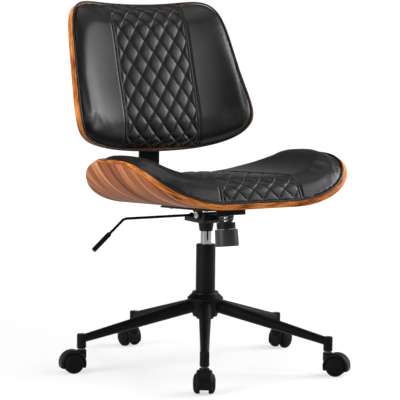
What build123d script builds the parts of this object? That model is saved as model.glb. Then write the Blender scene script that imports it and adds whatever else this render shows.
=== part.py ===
"""Bentwood office chair on a five-star base with casters, gas lift and tilt mechanism.

Millimetres. +Z is up, the chair faces -Y, and the origin is on the floor under the column.
"""
import os
from math import cos, hypot, pi, radians, sin, sqrt, tan

from build123d import *

os.makedirs("parts", exist_ok=True)

# General clearances
body_gap = 0.3            # between pieces that move against each other
run_gap = 0.05            # radial clearance of a running fit
face_gap = 0.3            # between a cushion and the ply it lies on
press_gap = 0.02          # radial clearance of a press fit
bolt_gap = 0.2            # radial clearance of a bolt in its hole
cut_over = 1.0            # cutting tool past the face that it cuts

# Height that the mechanism, the lift and the back follow
seat_height = 433.5       # top face of the seat ply over the column axis

# Five-star base
leg_count = 5
leg_heading = -121.0      # direction of the first leg, degrees from +X
tip_radius = 326.0        # column axis to caster stem axis
leg_root_d = 34.0
leg_tip_d = 20.5
leg_wall = 2.0
leg_root_r = 50.0         # where the leg's axis is at leg_root_z
leg_root_z = 154.0
leg_sink = 6.0            # leg's end inside the hub's lower edge
leg_tip_z = 85.0
socket_d = 23.5
socket_crown = 2.0        # rounded upper edge of the socket
socket_bottom_z = 62.5
socket_top_z = 98.0
socket_roof = 5.0
hub_bottom_z = 131.0
hub_top_z = 194.4
hub_belt_z = 178.8
hub_belt_d = 92.0
hub_top_d = 66.0
hub_bottom_d = 62.0
hub_belt_h = 5.0
hub_waist = 6.0           # hub's side drawn in under the belt
hub_brim = 2.0            # slope at the hub's top edge

# Casters
wheel_d = 50.0
wheel_w = 18.6
wheel_recess_d = 36.0     # shallow dish in the outer face of a wheel
wheel_recess = 1.6
wheel_side_gap = 0.6      # wheel to the hood's middle wall
tread_round = 2.5
caster_trail = 23.0       # stem axis to wheel axis
hood_web = 10.0           # middle wall between the two wheels
hood_w = 51.0
hood_wall = 6.0
hood_wheel_gap = 2.0      # hood to tread
hood_skirt_z = 21.0       # lower edge of the hood's arch
hood_foot_z = 11.0        # lower edge of the middle wall
stem_d = 11.0
stem_flange_d = 18.0
stem_flange_h = 2.2
stem_sink = 12.0          # stem inside the hood
stem_boss_wall = 2.0
stem_boss_floor = 2.0
axle_d = 6.0
axle_set_back = 1.0       # axle's end inside the wheel's dish

# Gas lift
column_d = 50.0
column_foot_d = 44.0      # lower end of the column's taper
column_wall = 2.0
column_bottom_z = 124.4
column_floor = 4.0
column_chamfer = 1.5
bush_step = 1.5           # column's wall left thicker round the bush
bush_length = 82.0
lift_d = 28.0
lift_wall = 2.0
lift_bottom_z = 182.0
lift_drop = 52.5          # seat's face to the lift's upper end
lift_top_z = seat_height - lift_drop
lift_top_d = 26.4         # upper end of the lift's taper
lift_shown = 34.0         # chrome between the column and the mechanism's neck
lift_end = 6.0
rod_d = 10.0
rod_drop = 81.0           # lift's upper end to the rod's
rod_top_z = lift_top_z - rod_drop
piston_h = 10.0
shoulder_d = 16.0
shoulder_h = 8.0
bearing_d = 30.0
bearing_h = 8.0
stop_d = 22.0
stop_h = 12.0
foot_d = 18.0             # riveted foot of the rod, under the column
foot_h = 3.0
pin_d = 8.0
pin_length = 30.0

# Seat and back mechanism
neck_h = 30.5             # neck's lower end to the lift's upper end
neck_bottom_z = lift_top_z - neck_h
neck_bottom_d = 34.0
neck_top_d = 42.0
column_top_z = neck_bottom_z - lift_shown
lift_rise = 5.0           # lift's upper end above the housing's underside
housing_floor_z = lift_top_z - lift_rise
housing_half_w = 44.0
housing_wall = 4.0
housing_front_y = -62.0
housing_rear_y = 34.0
housing_rear_h = 10.0     # height of the housing's side at its rear end
housing_slope = 10.0      # length of the slopes beside the shaft and at the front edge
shaft_wall = 6.0          # housing above the middle of the shaft
neck_fit = 0.03           # radial clearance of the lift's taper in the neck
tilt_axis_y = -37.0
tilt_drop = 36.5          # seat's face to the tilt shaft
tilt_axis_z = seat_height - tilt_drop
tilt_shaft_d = 12.0
tilt_shaft_head_d = 17.0
tilt_shaft_head_h = 4.0
ear_t = 4.0
ear_half_l = 24.0
ear_round_r = 12.0
plate_t = 4.0
plate_half_w = 70.0
plate_front_y = -120.0
plate_rear_y = 115.0
plate_lip_h = 13.0
plate_lip_w = 84.0
spacer_in = 38.0          # inner edge of a spacer strip
spacer_end = 6.0          # strip ends inside the plate's ends
seat_bolt_x = 54.0
seat_bolt_y = 85.0
bolt_d = 6.0
bolt_head_d = 12.0
bolt_head_h = 3.6
bolt_head_slope = 1.5
bolt_key = 4.0
bolt_end_gap = 1.0        # bolt's tip under the ply's face
nut_set_back = 3.0        # tee nut's end inside the ply
tee_nut_d = 8.0
tee_flange_d = 19.0
tee_flange_t = 1.5

# Tilt tension knob
knob_axis_y = -93.0       # where the draw bolt crosses the tongue
knob_drop = 29.5          # seat's face to that crossing
knob_axis_z = seat_height - knob_drop
knob_tilt = 8.0           # the knob's lower end leans to the front, degrees
tongue_t = 5.0
tongue_half_w = 30.0
tongue_front = 22.0       # tongue ahead of the bolt
draw_bolt_d = 10.0
draw_bolt_swing = 6.5     # clearance round the bolt in the tongue, for the tilt
draw_slot_room = 4.0      # slot in the seat plate past the bolt, each way
cross_head_d = 6.4
cross_head_l = 26.0
cup_d = 48.0
cup_wall = 3.0
cup_drop = 20.0           # tongue's underside to the cup's rim
cup_h = 17.0
spring_d = 32.0           # mean diameter of the tension spring
spring_wire = 3.5
spring_turns = 4.0
knob_top_d = 58.0
knob_bottom_d = 60.0
knob_h = 43.0
knob_flutes = 18
knob_flute_d = 5.0
knob_crown = 3.0          # rounded edge at the knob's lower end
knob_collar = 6.0         # plain band above the flutes
flute_sink = 1.1          # depth of a flute
knob_floor = 14.0         # knob under the draw bolt's end

# Height lever
lever_y = 0.0
lever_drop = 40.5         # seat's face to the lever
lever_z = seat_height - lever_drop
lever_d = 7.0
lever_bend_x = -238.0
lever_drop_angle = 41.0
lever_bend_r = 22.0
lever_free = 53.0         # bend to the grip's upper end
lever_inside = 8.0        # rod past the lift's axis
grip_d = 12.5
grip_length = 55.0
grip_round = 2.5
lever_bush_d = 12.0
lever_play = 0.6          # radial room of the rod in the bush, for its swing
lever_bush_lip = 1.0      # flange of the bush past its hole

# Bent ply of the seat and of the back
ply_t = 14.0
seat_tilt = 3.2           # the seat falls towards the back, degrees
seat_flat = 95.0
seat_bend_1_r = 298.0
seat_bend_1 = 24.0
seat_bend_2_r = 169.0
seat_bend_2 = 75.0
seat_rim_half = 342.5     # half width of the flat blank, measured along the ply
seat_front = 277.0        # column axis to the front edge
seat_rear = 230.0
seat_widest_y = -11.0
seat_front_power = 3.5    # squareness of the blank's front corners
seat_rear_power = 2.0
back_foot_y = 244.0       # lower middle of the back ply's front face
back_rise = 105.5         # seat's face to the back ply's foot
back_foot_z = seat_height + back_rise
back_recline = 17.4
back_flat = 80.0
back_bend_1_r = 315.0
back_bend_1 = 20.0
back_bend_2_r = 147.0
back_bend_2 = 56.0
back_rim_half = 296.0     # half width of the blank at its foot, along the ply
back_rim_top_half = 226.5
back_h = 396.0
back_widest = 194.0
back_top_power = 5.8
back_foot_power = 6.4
back_top_dip = 21.0
back_foot_bow = 34.0

# Cushions
seat_crown = 62.0
seat_edge = 46.0
seat_margin = 7.0         # bare ply round the cushion
back_crown = 44.0
back_edge = 14.0
back_margin = 7.0
panel_half = 114.0        # quilted panel, middle to seam
diamond_w = 45.0
diamond_h = 60.0
groove_w = 2.2
groove_depth = 4.0
quilt_end = 50.0          # ends of the cushion to the quilted panel
cover_t = 1.5             # quilted cover under its pads
end_edge = 0.4            # share of the side's height left at the cushion's ends
side_bulge = 6.0          # swell of a cushion's side past its seam
cushion_sink = 8.0        # how far a cushion's blank reaches into the ply before it is trimmed
ply_room_end = 60.0       # trimming tool past the ends of the ply
section_shares = [-0.985, -0.93, -0.8, -0.55, -0.25, 0.05, 0.35, 0.6, 0.8, 0.93, 0.985]

# Back bar
bar_w = 60.0
bar_t = 7.0
bar_front_y = -66.0
bar_upright_y = 301.0
bar_top = 300.0           # along the back, from the back's foot
bar_bend_r = 48.0
bar_lean_r = 70.0
back_bolt_x = 18.0
back_bolt_low = 190.0
back_bolt_high = 270.0


def circle_tube(outer_r, inner_r, low, high):
    """Upright ring from one height to another."""
    ring = Pos(0, 0, (low + high) / 2) * Cylinder(outer_r, high - low)
    return ring - Pos(0, 0, (low + high) / 2) * Cylinder(inner_r, 2 * (high - low))


def upright_cylinder(r, low, high):
    return Pos(0, 0, (low + high) / 2) * Cylinder(r, high - low)


def upright_cone(low_r, high_r, low, high):
    return Pos(0, 0, (low + high) / 2) * Cone(low_r, high_r, high - low)


def turned(points):
    """Solid turned about Z from a closed (radius, height) outline."""
    outline = Polyline(*[(r, 0, z) for r, z in points], close=True)
    return revolve(Face(Wire(outline.edges())), Axis.Z)


def side_plate(points, half_w):
    """Block with a (y, z) outline, from -half_w to half_w across X."""
    outline = Polyline(*[(-half_w, y, z) for y, z in points], close=True)
    return extrude(Face(Wire(outline.edges())), amount=2 * half_w, dir=(1, 0, 0))


def hexagon_bar(across, length):
    return extrude(RegularPolygon(across / sqrt(3), 6), amount=length)


class BentPly:
    """Section of a bent sheet: a flat middle and two tangent arcs on each side."""

    def __init__(self, flat, r_1, bend_1, r_2, bend_2):
        self.flat = flat
        self.r_1 = r_1
        self.r_2 = r_2
        self.a_1 = radians(bend_1)
        self.a_2 = radians(bend_2)
        self.mark_1 = flat
        self.mark_2 = flat + r_1 * self.a_1
        self.end = self.mark_2 + r_2 * (self.a_2 - self.a_1)

    def at(self, u, lift):
        """Point u along the sitter's face and lift above it, as (across, depth)."""
        side = -1 if u < 0 else 1
        u = abs(u)
        if u <= self.mark_1:
            return side * u, lift
        if u <= self.mark_2:
            a = (u - self.mark_1) / self.r_1
            return side * (self.flat + (self.r_1 - lift) * sin(a)), self.r_1 - (self.r_1 - lift) * cos(a)
        a = self.a_1 + (u - self.mark_2) / self.r_2
        centre_x = self.flat + (self.r_1 - self.r_2) * sin(self.a_1)
        centre_d = self.r_1 - (self.r_1 - self.r_2) * cos(self.a_1)
        return side * (centre_x + (self.r_2 - lift) * sin(a)), centre_d - (self.r_2 - lift) * cos(a)

    def band(self, low, high, station):
        """Face of the sheet's section between two lifts, in the plane y = station."""
        marks = [-self.end, -self.mark_2, -self.mark_1, self.mark_1, self.mark_2, self.end]

        def point(u, lift):
            x, d = self.at(u, lift)
            return x, station, d

        edges = []
        for lift in (low, high):
            for a, b in zip(marks, marks[1:]):
                if abs(a) == abs(b):
                    edges.append(Line(point(a, lift), point(b, lift)))
                else:
                    edges.append(ThreePointArc(point(a, lift), point((a + b) / 2, lift), point(b, lift)))
        for end in (-self.end, self.end):
            edges.append(Line(point(end, low), point(end, high)))
        return Face(Wire.combine([e.edge() for e in edges])[0])


class Rim:
    """Outline of a flat blank: half width against the station along it, by a rounded formula."""

    def __init__(self, low, high, widest, half_low, half_high, low_power, high_power, low_bow, high_bow):
        self.low = low
        self.high = high
        self.widest = widest
        self.half_low = half_low
        self.half_high = half_high
        self.low_power = low_power
        self.high_power = high_power
        self.low_bow = low_bow
        self.high_bow = high_bow

    def at(self, turn):
        """Half width and station at a turn from -90 (low end) to 90 degrees (high end)."""
        s, c = sin(radians(turn)), max(cos(radians(turn)), 0.0)
        power = self.low_power if s < 0 else self.high_power
        reach = self.low - self.widest if s < 0 else self.high - self.widest
        bow = self.low_bow if s < 0 else self.high_bow
        station = self.widest + reach * abs(s) ** (2 / power)
        share = (station - self.low) / (self.high - self.low)
        half = self.half_low + (self.half_high - self.half_low) * share
        share = c ** (2 / power)
        return half * share, station + bow * share ** 2 * abs(s) ** (2 / power)

    def half_at(self, station):
        """Half width of the outline where it crosses a station."""
        low, high = -90.0, 90.0
        for _ in range(50):
            middle = (low + high) / 2
            low, high = (middle, high) if self.at(middle)[1] < station else (low, middle)
        return self.at(low)[0]


def plan_outline(ply, rim, turns):
    """Closed outline of a bent blank seen square to its flat middle."""
    side = []
    for turn in turns:
        u, station = rim.at(turn)
        x, _ = ply.at(u, 0)
        side.append((x, station))
    left = [(-x, station) for x, station in reversed(side)]
    ends = [(0, rim.at(90)[1]), (0, rim.at(-90)[1])]
    points = [ends[1]] + side + [ends[0]] + left
    return Face(Wire([Spline(*points, periodic=True).edge()]))


def ply_shell(ply, rim, turns):
    """Bent ply sheet trimmed to its blank."""
    low, high = rim.low - ply_room_end, rim.high + ply_room_end
    sheet = extrude(ply.band(-ply_t, 0, low), amount=high - low, dir=(0, 1, 0))
    depth = ply.at(ply.end, 0)[1]
    trim = extrude(Pos(0, 0, -2 * ply_t) * plan_outline(ply, rim, turns), amount=depth + 4 * ply_t)
    return sheet & trim


def cushion_section(ply, station, half, crown, edge, sink):
    """Closed section of a cushion: crowned top, rounded ends, base sunk below the ply's face."""
    marks = [-half, -half / 2, 0, half / 2, half]

    def point(u, top):
        share = 1 - (u / half) ** 2
        lift = edge + (crown - edge) * share ** 0.7 if top else -sink * (1 + 0.25 * share)
        x, d = ply.at(u, lift)
        return x, station, d

    edges = []
    for top in (True, False):
        for a, b in zip(marks, marks[1:]):
            edges.append(ThreePointArc(point(a, top), point((a + b) / 2, top), point(b, top)))
    for side in (-1, 1):
        x, d = ply.at(side * (half + side_bulge), edge / 2)
        edges.append(ThreePointArc(point(side * half, True), (x, station, d), point(side * half, False)))
    return Wire.combine([e.edge() for e in edges])[0]


def padded(ply, rim, margin, crown, edge):
    """Loft of a cushion over a bent blank: full in the middle, thin at both ends."""
    middle = (rim.low + rim.high) / 2
    reach = (rim.high - rim.low) / 2
    sections = []
    for share in section_shares:
        half = min(rim.half_at(middle + share * reach), ply.end) - margin
        fullness = sqrt(1 - share ** 8)
        end_top = end_edge * edge
        top = end_top + (crown - end_top) * fullness
        station = middle + share * (reach - margin)
        side_edge = edge * (end_edge + (1 - end_edge) * fullness)
        sections.append(cushion_section(ply, station, half, top, side_edge, cushion_sink))
    return Solid.make_loft(sections)


def clipped(points, half, low, high):
    """Part of a convex (x, station) polygon inside the panel's rectangle."""
    walls = [(0, -half, 1), (0, half, -1), (1, low, 1), (1, high, -1)]
    for axis, limit, hand in walls:
        kept = []
        for p, q in zip(points, points[1:] + points[:1]):
            depth_p = hand * (p[axis] - limit)
            depth_q = hand * (q[axis] - limit)
            if depth_p >= 0:
                kept.append(p)
            if depth_p * depth_q < 0:
                share = depth_p / (depth_p - depth_q)
                kept.append((p[0] + (q[0] - p[0]) * share, p[1] + (q[1] - p[1]) * share))
        points = kept
    return points


def shrunk(points, gap):
    """Polygon drawn in towards its middle by about gap on every side."""
    x = sum(p[0] for p in points) / len(points)
    y = sum(p[1] for p in points) / len(points)
    sides = zip(points, points[1:] + points[:1])
    reach = min(hypot((p[0] + q[0]) / 2 - x, (p[1] + q[1]) / 2 - y) for p, q in sides)
    scale = 1 - gap / reach
    return [(x + (p[0] - x) * scale, y + (p[1] - y) * scale) for p in points]


def polygon_area(points):
    return abs(sum(p[0] * q[1] - q[0] * p[1] for p, q in zip(points, points[1:] + points[:1]))) / 2


def polygon_wire(points, z):
    return Wire(Polyline(*[(x, y, z) for x, y in points], close=True).edges())


def quilt_pads(low, high, floor, top):
    """Raised diamonds of a quilted panel, each a pad with sloping sides."""
    pads = []
    rows = int(2 * (high - low) / diamond_h) + 2
    columns = int(2 * panel_half / diamond_w) + 2
    for row in range(rows):
        for column in range(-columns, columns + 1):
            if (row + column) % 2:
                continue
            x, y = column * diamond_w / 2, low + row * diamond_h / 2
            half_w, half_h = diamond_w / 2, diamond_h / 2
            corners = [(x + half_w, y), (x, y + half_h), (x - half_w, y), (x, y - half_h)]
            corners = clipped(corners, panel_half, low, high)
            if len(corners) < 3 or polygon_area(corners) < diamond_w * diamond_h / 9:
                continue
            foot = shrunk(corners, groove_w)
            crest = shrunk(corners, groove_w + groove_depth)
            ends = [polygon_wire(foot, floor - cover_t / 2), polygon_wire(crest, top)]
            pads.append(Solid.make_loft(ends, ruled=True))
    return pads


def quilted_cushion(ply, rim, margin, crown, edge):
    """Cushion lying on its ply, and the quilted cover let into a pocket between its seams."""
    first, last = rim.low - ply_room_end, rim.high + ply_room_end
    ply_room = extrude(ply.band(-3 * ply_t, face_gap, first), amount=last - first, dir=(0, 1, 0))
    low, high = rim.low + quilt_end, rim.high - quilt_end
    floor = crown - groove_depth - 2 * cover_t
    pocket = Pos(0, (low + high) / 2, floor + crown) * Box(2 * panel_half, high - low, 2 * crown)
    sheet_low = floor + face_gap
    sheet = Pos(0, (low + high) / 2, sheet_low + cover_t / 2)
    sheet *= Box(2 * panel_half - groove_w, high - low - groove_w, cover_t)
    cover = sheet + quilt_pads(low, high, sheet_low + cover_t, crown)
    return padded(ply, rim, margin, crown, edge) - ply_room - pocket, cover


def helix_wire(r, pitch, turns):
    """Coil about Z, each quarter turn as two tangent arcs, and the middle points of its arcs."""
    steps = int(round(turns * 4))

    def place(k):
        a = k * pi / 2
        tangent = Vector(-r * sin(a), r * cos(a), pitch / (2 * pi)).normalized()
        return Vector(r * cos(a), r * sin(a), pitch * k / 4), tangent

    edges = []
    for k in range(steps):
        p_0, t_0 = place(k)
        p_1, t_1 = place(k + 1)
        v = p_1 - p_0
        both = t_0 + t_1
        a = 2 * (1 - t_0.dot(t_1))
        b = 2 * v.dot(both)
        d = (-b + sqrt(b * b + 4 * a * v.dot(v))) / (2 * a)
        joint = (p_0 + t_0 * d + p_1 - t_1 * d) * 0.5
        edges.append(Edge.make_tangent_arc(p_0, t_0, joint))
        edges.append(Edge.make_tangent_arc(p_1, t_1 * -1, joint).reversed())
    return Wire(edges), place(0)


def least_coil_gap(r, pitch, turns, wire):
    """Least gap between points of a coil that are more than half a turn apart."""
    steps = 48
    points = []
    for k in range(int(turns * steps) + 1):
        a = 2 * pi * k / steps
        points.append(Vector(r * cos(a), r * sin(a), pitch * k / steps))
    gaps = []
    for i, p in enumerate(points):
        for q in points[i + steps // 2:]:
            gaps.append((p - q).length - wire)
    return min(gaps)


def strip(points, radii, thickness, half_w):
    """Flat bar bent along a (y, z) route: thickness across the route, half_w to each side in X."""
    sides = []
    for hand in (-1, 1):
        offset = hand * thickness / 2
        line = []
        for i, (y, z) in enumerate(points):
            before = points[i - 1] if i else None
            after = points[i + 1] if i + 1 < len(points) else None
            ways = []
            for a, b in ((before, (y, z)), ((y, z), after)):
                if a and b:
                    length = hypot(b[0] - a[0], b[1] - a[1])
                    ways.append(((b[0] - a[0]) / length, (b[1] - a[1]) / length))
            normals = [(-w[1], w[0]) for w in ways]
            if len(normals) == 2:
                bisector = (normals[0][0] + normals[1][0], normals[0][1] + normals[1][1])
                size = hypot(*bisector)
                spread = size / 2
                reach = offset / size / spread
                line.append((y + reach * bisector[0], z + reach * bisector[1]))
            else:
                line.append((y + offset * normals[0][0], z + offset * normals[0][1]))
        sides.append(line)
    edges = []
    for hand, line in zip((-1, 1), sides):
        inner = []
        for i, radius in enumerate(radii):
            a, b, c = points[i], points[i + 1], points[i + 2]
            turn = (b[0] - a[0]) * (c[1] - b[1]) - (b[1] - a[1]) * (c[0] - b[0])
            inner.append(radius - hand * thickness / 2 if turn > 0 else radius + hand * thickness / 2)
        edges += FilletPolyline(*[(0, y, z) for y, z in line], radius=inner).edges()
    for i in (0, -1):
        edges.append(Edge.make_line((0, *sides[0][i]), (0, *sides[1][i])))
    return extrude(Face(Wire.combine(edges)[0]), amount=half_w, dir=(1, 0, 0), both=True)


parts = {}
seat_frame = Location((0, 0, seat_height), (-seat_tilt, 0, 0))
back_frame = Location((0, back_foot_y, back_foot_z), (90 - back_recline, 0, 0))
knob_frame = Location((0, knob_axis_y, knob_axis_z), (-knob_tilt, 0, 0))


def in_seat(y, z):
    """Seat frame (y, z) of a point given in the chair's frame."""
    point = seat_frame.inverse() * Pos(0, y, z)
    return point.position.Y, point.position.Z


# Hub of the base, with a taper for the column
taper_slope = (column_d - column_foot_d) / 2 / (hub_top_z - column_bottom_z)


def column_r(z):
    return min(column_foot_d / 2 + taper_slope * (z - column_bottom_z), column_d / 2)


hub_side = [
    (hub_bottom_d / 2, hub_bottom_z),
    (hub_belt_d / 2 - hub_waist, (hub_bottom_z + hub_belt_z) / 2),
    (hub_belt_d / 2, hub_belt_z - hub_belt_h),
    (hub_belt_d / 2, hub_belt_z),
    (hub_top_d / 2 + hub_brim, hub_top_z - hub_belt_h),
    (hub_top_d / 2, hub_top_z),
]
hub_bore = [(column_r(z) + run_gap, z) for z in (hub_top_z, hub_bottom_z)]
parts["base_hub"] = turned(hub_side + hub_bore)

# Legs: tapered tubes with an upright socket at the tip
hub_outer = turned(hub_side + [(0, hub_top_z), (0, hub_bottom_z)])
leg_fall = (leg_root_z - leg_tip_z) / (tip_radius - leg_root_r)
leg_inner_r = hub_bottom_d / 2 - leg_sink
leg_start = Vector(leg_inner_r, 0, leg_root_z + leg_fall * (leg_root_r - leg_inner_r))
leg_end = Vector(tip_radius, 0, leg_tip_z)
leg_way = leg_end - leg_start
leg_plane = Plane(origin=leg_start, x_dir=(0, 1, 0), z_dir=leg_way)
leg_tube = leg_plane * upright_cone(leg_root_d / 2, leg_tip_d / 2, 0, leg_way.length)
hollow_length = leg_way.length - socket_d
leg_hollow = leg_plane * upright_cone(leg_root_d / 2 - leg_wall, leg_tip_d / 2 - leg_wall, 0, hollow_length)
socket = upright_cylinder(socket_d / 2, socket_bottom_z, socket_top_z)
socket = Pos(tip_radius, 0, 0) * fillet(socket.edges().group_by(Axis.Z)[-1], socket_crown)
stem_bore_top = socket_top_z - socket_roof
stem_bore = upright_cylinder(stem_d / 2 + run_gap, socket_bottom_z - cut_over, stem_bore_top)
stem_bore = Pos(tip_radius, 0, 0) * stem_bore
leg = (leg_tube + socket) - leg_hollow - hub_outer - stem_bore
leg_turns = [leg_heading + 360 / leg_count * k for k in range(leg_count)]
for number, turn in enumerate(leg_turns, 1):
    parts[f"leg_{number}"] = Rot(0, 0, turn) * leg

# Casters, each with its stem at the leg's tip and its wheels trailing outwards
wheel_r = wheel_d / 2
wheel_in = hood_web / 2 + wheel_side_gap
hood_r = wheel_r + hood_wheel_gap + hood_wall
hood_top = wheel_r + hood_r
stem = upright_cylinder(stem_d / 2, hood_top - stem_sink, stem_bore_top - body_gap)
stem += upright_cylinder(stem_flange_d / 2, hood_top + body_gap, hood_top + body_gap + stem_flange_h)
across = Pos(caster_trail, 0, wheel_r) * Rot(90, 0, 0)
arch = across * (Cylinder(hood_r, hood_w) - Cylinder(wheel_r + hood_wheel_gap, 2 * hood_w))
web = across * Cylinder(wheel_r + hood_wheel_gap + hood_wall / 2, hood_web)
hood_arch_room = Pos(0, 0, hood_skirt_z + hood_r) * Box(4 * hood_r, 2 * hood_w, 2 * hood_r)
hood_web_room = Pos(0, 0, hood_foot_z + hood_r) * Box(4 * hood_r, 2 * hood_w, 2 * hood_r)
boss_low = hood_top - stem_sink - stem_boss_floor
stem_boss = upright_cylinder(stem_flange_d / 2 + stem_boss_wall, boss_low, hood_top)
hood = (arch & hood_arch_room) + (web & hood_web_room)
wheel_room = across * (Cylinder(wheel_r + hood_wheel_gap, 2 * hood_w) - Cylinder(2 * wheel_r, hood_web))
hood += stem_boss - wheel_room
hood -= upright_cylinder(stem_d / 2 + press_gap, hood_top - stem_sink - press_gap, hood_top + cut_over)
axle_reach = wheel_in + wheel_w - wheel_recess - axle_set_back
hood -= across * Cylinder(axle_d / 2 + press_gap, 4 * hood_w)
axle = across * Cylinder(axle_d / 2, 2 * axle_reach)
wheel_body = Cylinder(wheel_r, wheel_w) - Cylinder(axle_d / 2 + run_gap, 2 * wheel_w)
wheel_body = fillet(wheel_body.edges().filter_by(GeomType.CIRCLE).sort_by(SortBy.RADIUS)[-2:], tread_round)
wheel_body -= Pos(0, 0, wheel_w / 2) * Cylinder(wheel_recess_d / 2, 2 * wheel_recess)
caster_pieces = {
    "stem": stem,
    "hood": hood,
    "axle": axle,
    "wheel_left": across * Pos(0, 0, wheel_in + wheel_w / 2) * wheel_body,
    "wheel_right": across * Rot(180, 0, 0) * Pos(0, 0, wheel_in + wheel_w / 2) * wheel_body,
}
for number, turn in enumerate(leg_turns, 1):
    place = Rot(0, 0, turn) * Pos(tip_radius, 0, 0)
    for name, piece in caster_pieces.items():
        parts[f"caster_{number}_{name}"] = place * piece

# Gas lift: column, guide bush, lift cylinder, rod and its bearing
column_outer = turned([
    (0, column_bottom_z),
    (column_r(column_bottom_z), column_bottom_z),
    (column_d / 2, hub_top_z),
    (column_d / 2, column_top_z - column_chamfer),
    (column_d / 2 - column_chamfer, column_top_z),
    (0, column_top_z),
])
column_bore_r = column_foot_d / 2 - column_wall
bush_bottom_z = column_top_z - bush_length
column_inner = upright_cylinder(column_bore_r, column_bottom_z + column_floor, column_top_z + cut_over)
bush_r = column_d / 2 - column_wall - bush_step
column_inner += upright_cylinder(bush_r, bush_bottom_z, column_top_z + cut_over)
rod_hole = upright_cylinder(rod_d / 2 + run_gap, 0, column_top_z)
parts["column_tube"] = column_outer - column_inner - rod_hole
parts["column_bush"] = circle_tube(bush_r - press_gap, lift_d / 2 + run_gap, bush_bottom_z, column_top_z)
bearing_low = column_bottom_z + column_floor
bearing_top = bearing_low + bearing_h
parts["thrust_bearing"] = circle_tube(bearing_d / 2, rod_d / 2 + run_gap, bearing_low, bearing_top)
shoulder_low = bearing_low + bearing_h + body_gap
foot_top = column_bottom_z - body_gap
rod = upright_cylinder(rod_d / 2, foot_top - foot_h, rod_top_z)
rod += upright_cylinder(shoulder_d / 2, shoulder_low, shoulder_low + shoulder_h)
rod += upright_cylinder(lift_d / 2 - lift_wall - run_gap, rod_top_z - piston_h, rod_top_z)
rod += upright_cylinder(foot_d / 2, foot_top - foot_h, foot_top)
parts["lift_rod"] = rod
stop_low = shoulder_low + shoulder_h
parts["bump_stop"] = circle_tube(stop_d / 2, rod_d / 2 + press_gap, stop_low, stop_low + stop_h)
lift_outer = upright_cylinder(lift_d / 2, lift_bottom_z, neck_bottom_z)
lift_outer += upright_cone(lift_d / 2, lift_top_d / 2, neck_bottom_z, lift_top_z)
lift_bore_r = lift_d / 2 - lift_wall
lift_inner = upright_cylinder(lift_bore_r, lift_bottom_z + lift_end, neck_bottom_z)
lift_inner += upright_cylinder(pin_d / 2 + run_gap, lift_bottom_z + lift_end, lift_top_z + cut_over)
lift_mouth = upright_cylinder(rod_d / 2 + run_gap, 0, lift_bottom_z + 2 * lift_end)
parts["lift_cylinder"] = lift_outer - lift_inner - lift_mouth
pin_top = lever_z - lever_d / 2 - body_gap
parts["release_pin"] = upright_cylinder(pin_d / 2, pin_top - pin_length, pin_top)

# Mechanism housing: open-topped channel with a neck for the lift and a tongue for the draw bolt
plate_top = -ply_t - bar_t
plate_low = plate_top - plate_t
housing_high = tilt_axis_z + 1.5 * shaft_wall
housing_points = [
    (housing_rear_y, housing_floor_z),
    (housing_rear_y, housing_floor_z + housing_rear_h),
    (tilt_axis_y + housing_slope, tilt_axis_z + shaft_wall),
    (tilt_axis_y - housing_slope, housing_high),
    (housing_front_y, tilt_axis_z + shaft_wall),
    (housing_front_y, housing_floor_z + 2 * housing_wall),
    (housing_front_y + housing_slope, housing_floor_z),
]
housing = side_plate(housing_points, housing_half_w)
housing_inside = [
    (housing_rear_y - housing_wall, housing_floor_z + housing_wall),
    (housing_rear_y - housing_wall, housing_high + housing_rear_h),
    (housing_front_y + housing_wall, housing_high + housing_rear_h),
    (housing_front_y + housing_wall, housing_floor_z + 2 * housing_wall),
    (housing_front_y + housing_slope + housing_wall, housing_floor_z + housing_wall),
]
housing -= side_plate(housing_inside, housing_half_w - housing_wall)
neck = upright_cone(neck_bottom_d / 2, neck_top_d / 2, neck_bottom_z, housing_floor_z)
taper_room = upright_cone(lift_d / 2 + neck_fit, lift_top_d / 2 + neck_fit, neck_bottom_z, lift_top_z)
lug = upright_cylinder(neck_top_d / 2, housing_floor_z, housing_floor_z + housing_wall)
housing += neck + lug
housing -= taper_room
tongue_rear = (housing_front_y - knob_axis_y) + housing_wall
tongue = Box(2 * tongue_half_w, tongue_rear + tongue_front, tongue_t)
tongue = Pos(0, (tongue_rear - tongue_front) / 2, 0) * tongue
tongue_hole = Cylinder(draw_bolt_d / 2 + draw_bolt_swing, 4 * tongue_t)
housing += knob_frame * tongue
housing -= knob_frame * tongue_hole
shaft_way = Pos(0, tilt_axis_y, tilt_axis_z) * Rot(0, 90, 0)
housing -= shaft_way * Cylinder(tilt_shaft_d / 2 + run_gap, 4 * housing_half_w)
bush_way = Pos(-housing_half_w + housing_wall / 2, lever_y, lever_z) * Rot(0, 90, 0)
housing -= bush_way * Cylinder(lever_bush_d / 2 + press_gap, 2 * housing_wall)
parts["mechanism_housing"] = housing

# Seat plate: pressed plate with two ears on the tilt shaft, a front lip and bolt holes
ear_y, ear_z = in_seat(tilt_axis_y, tilt_axis_z)
ear_in = housing_half_w + body_gap
plate = Pos(0, (plate_front_y + plate_rear_y) / 2, (plate_top + plate_low) / 2)
plate *= Box(2 * plate_half_w, plate_rear_y - plate_front_y, plate_t)
lip = Pos(0, plate_front_y + plate_t / 2, plate_low - plate_lip_h / 2)
plate += lip * Box(plate_lip_w, plate_t, plate_lip_h)
ear_points = [
    (ear_y - ear_half_l, plate_low),
    (ear_y + ear_half_l, plate_low),
    (ear_y + ear_round_r, ear_z),
    (ear_y - ear_round_r, ear_z),
]
ear = side_plate(ear_points, ear_in + ear_t) - side_plate(ear_points, ear_in)
shaft_in_seat = Pos(0, ear_y, ear_z) * Rot(0, 90, 0)
ear_round = Cylinder(ear_round_r, 2 * (ear_in + ear_t)) - Cylinder(2 * ear_round_r, 2 * ear_in)
plate += ear + shaft_in_seat * ear_round
plate -= shaft_in_seat * Cylinder(tilt_shaft_d / 2 + press_gap, 4 * housing_half_w)
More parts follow.
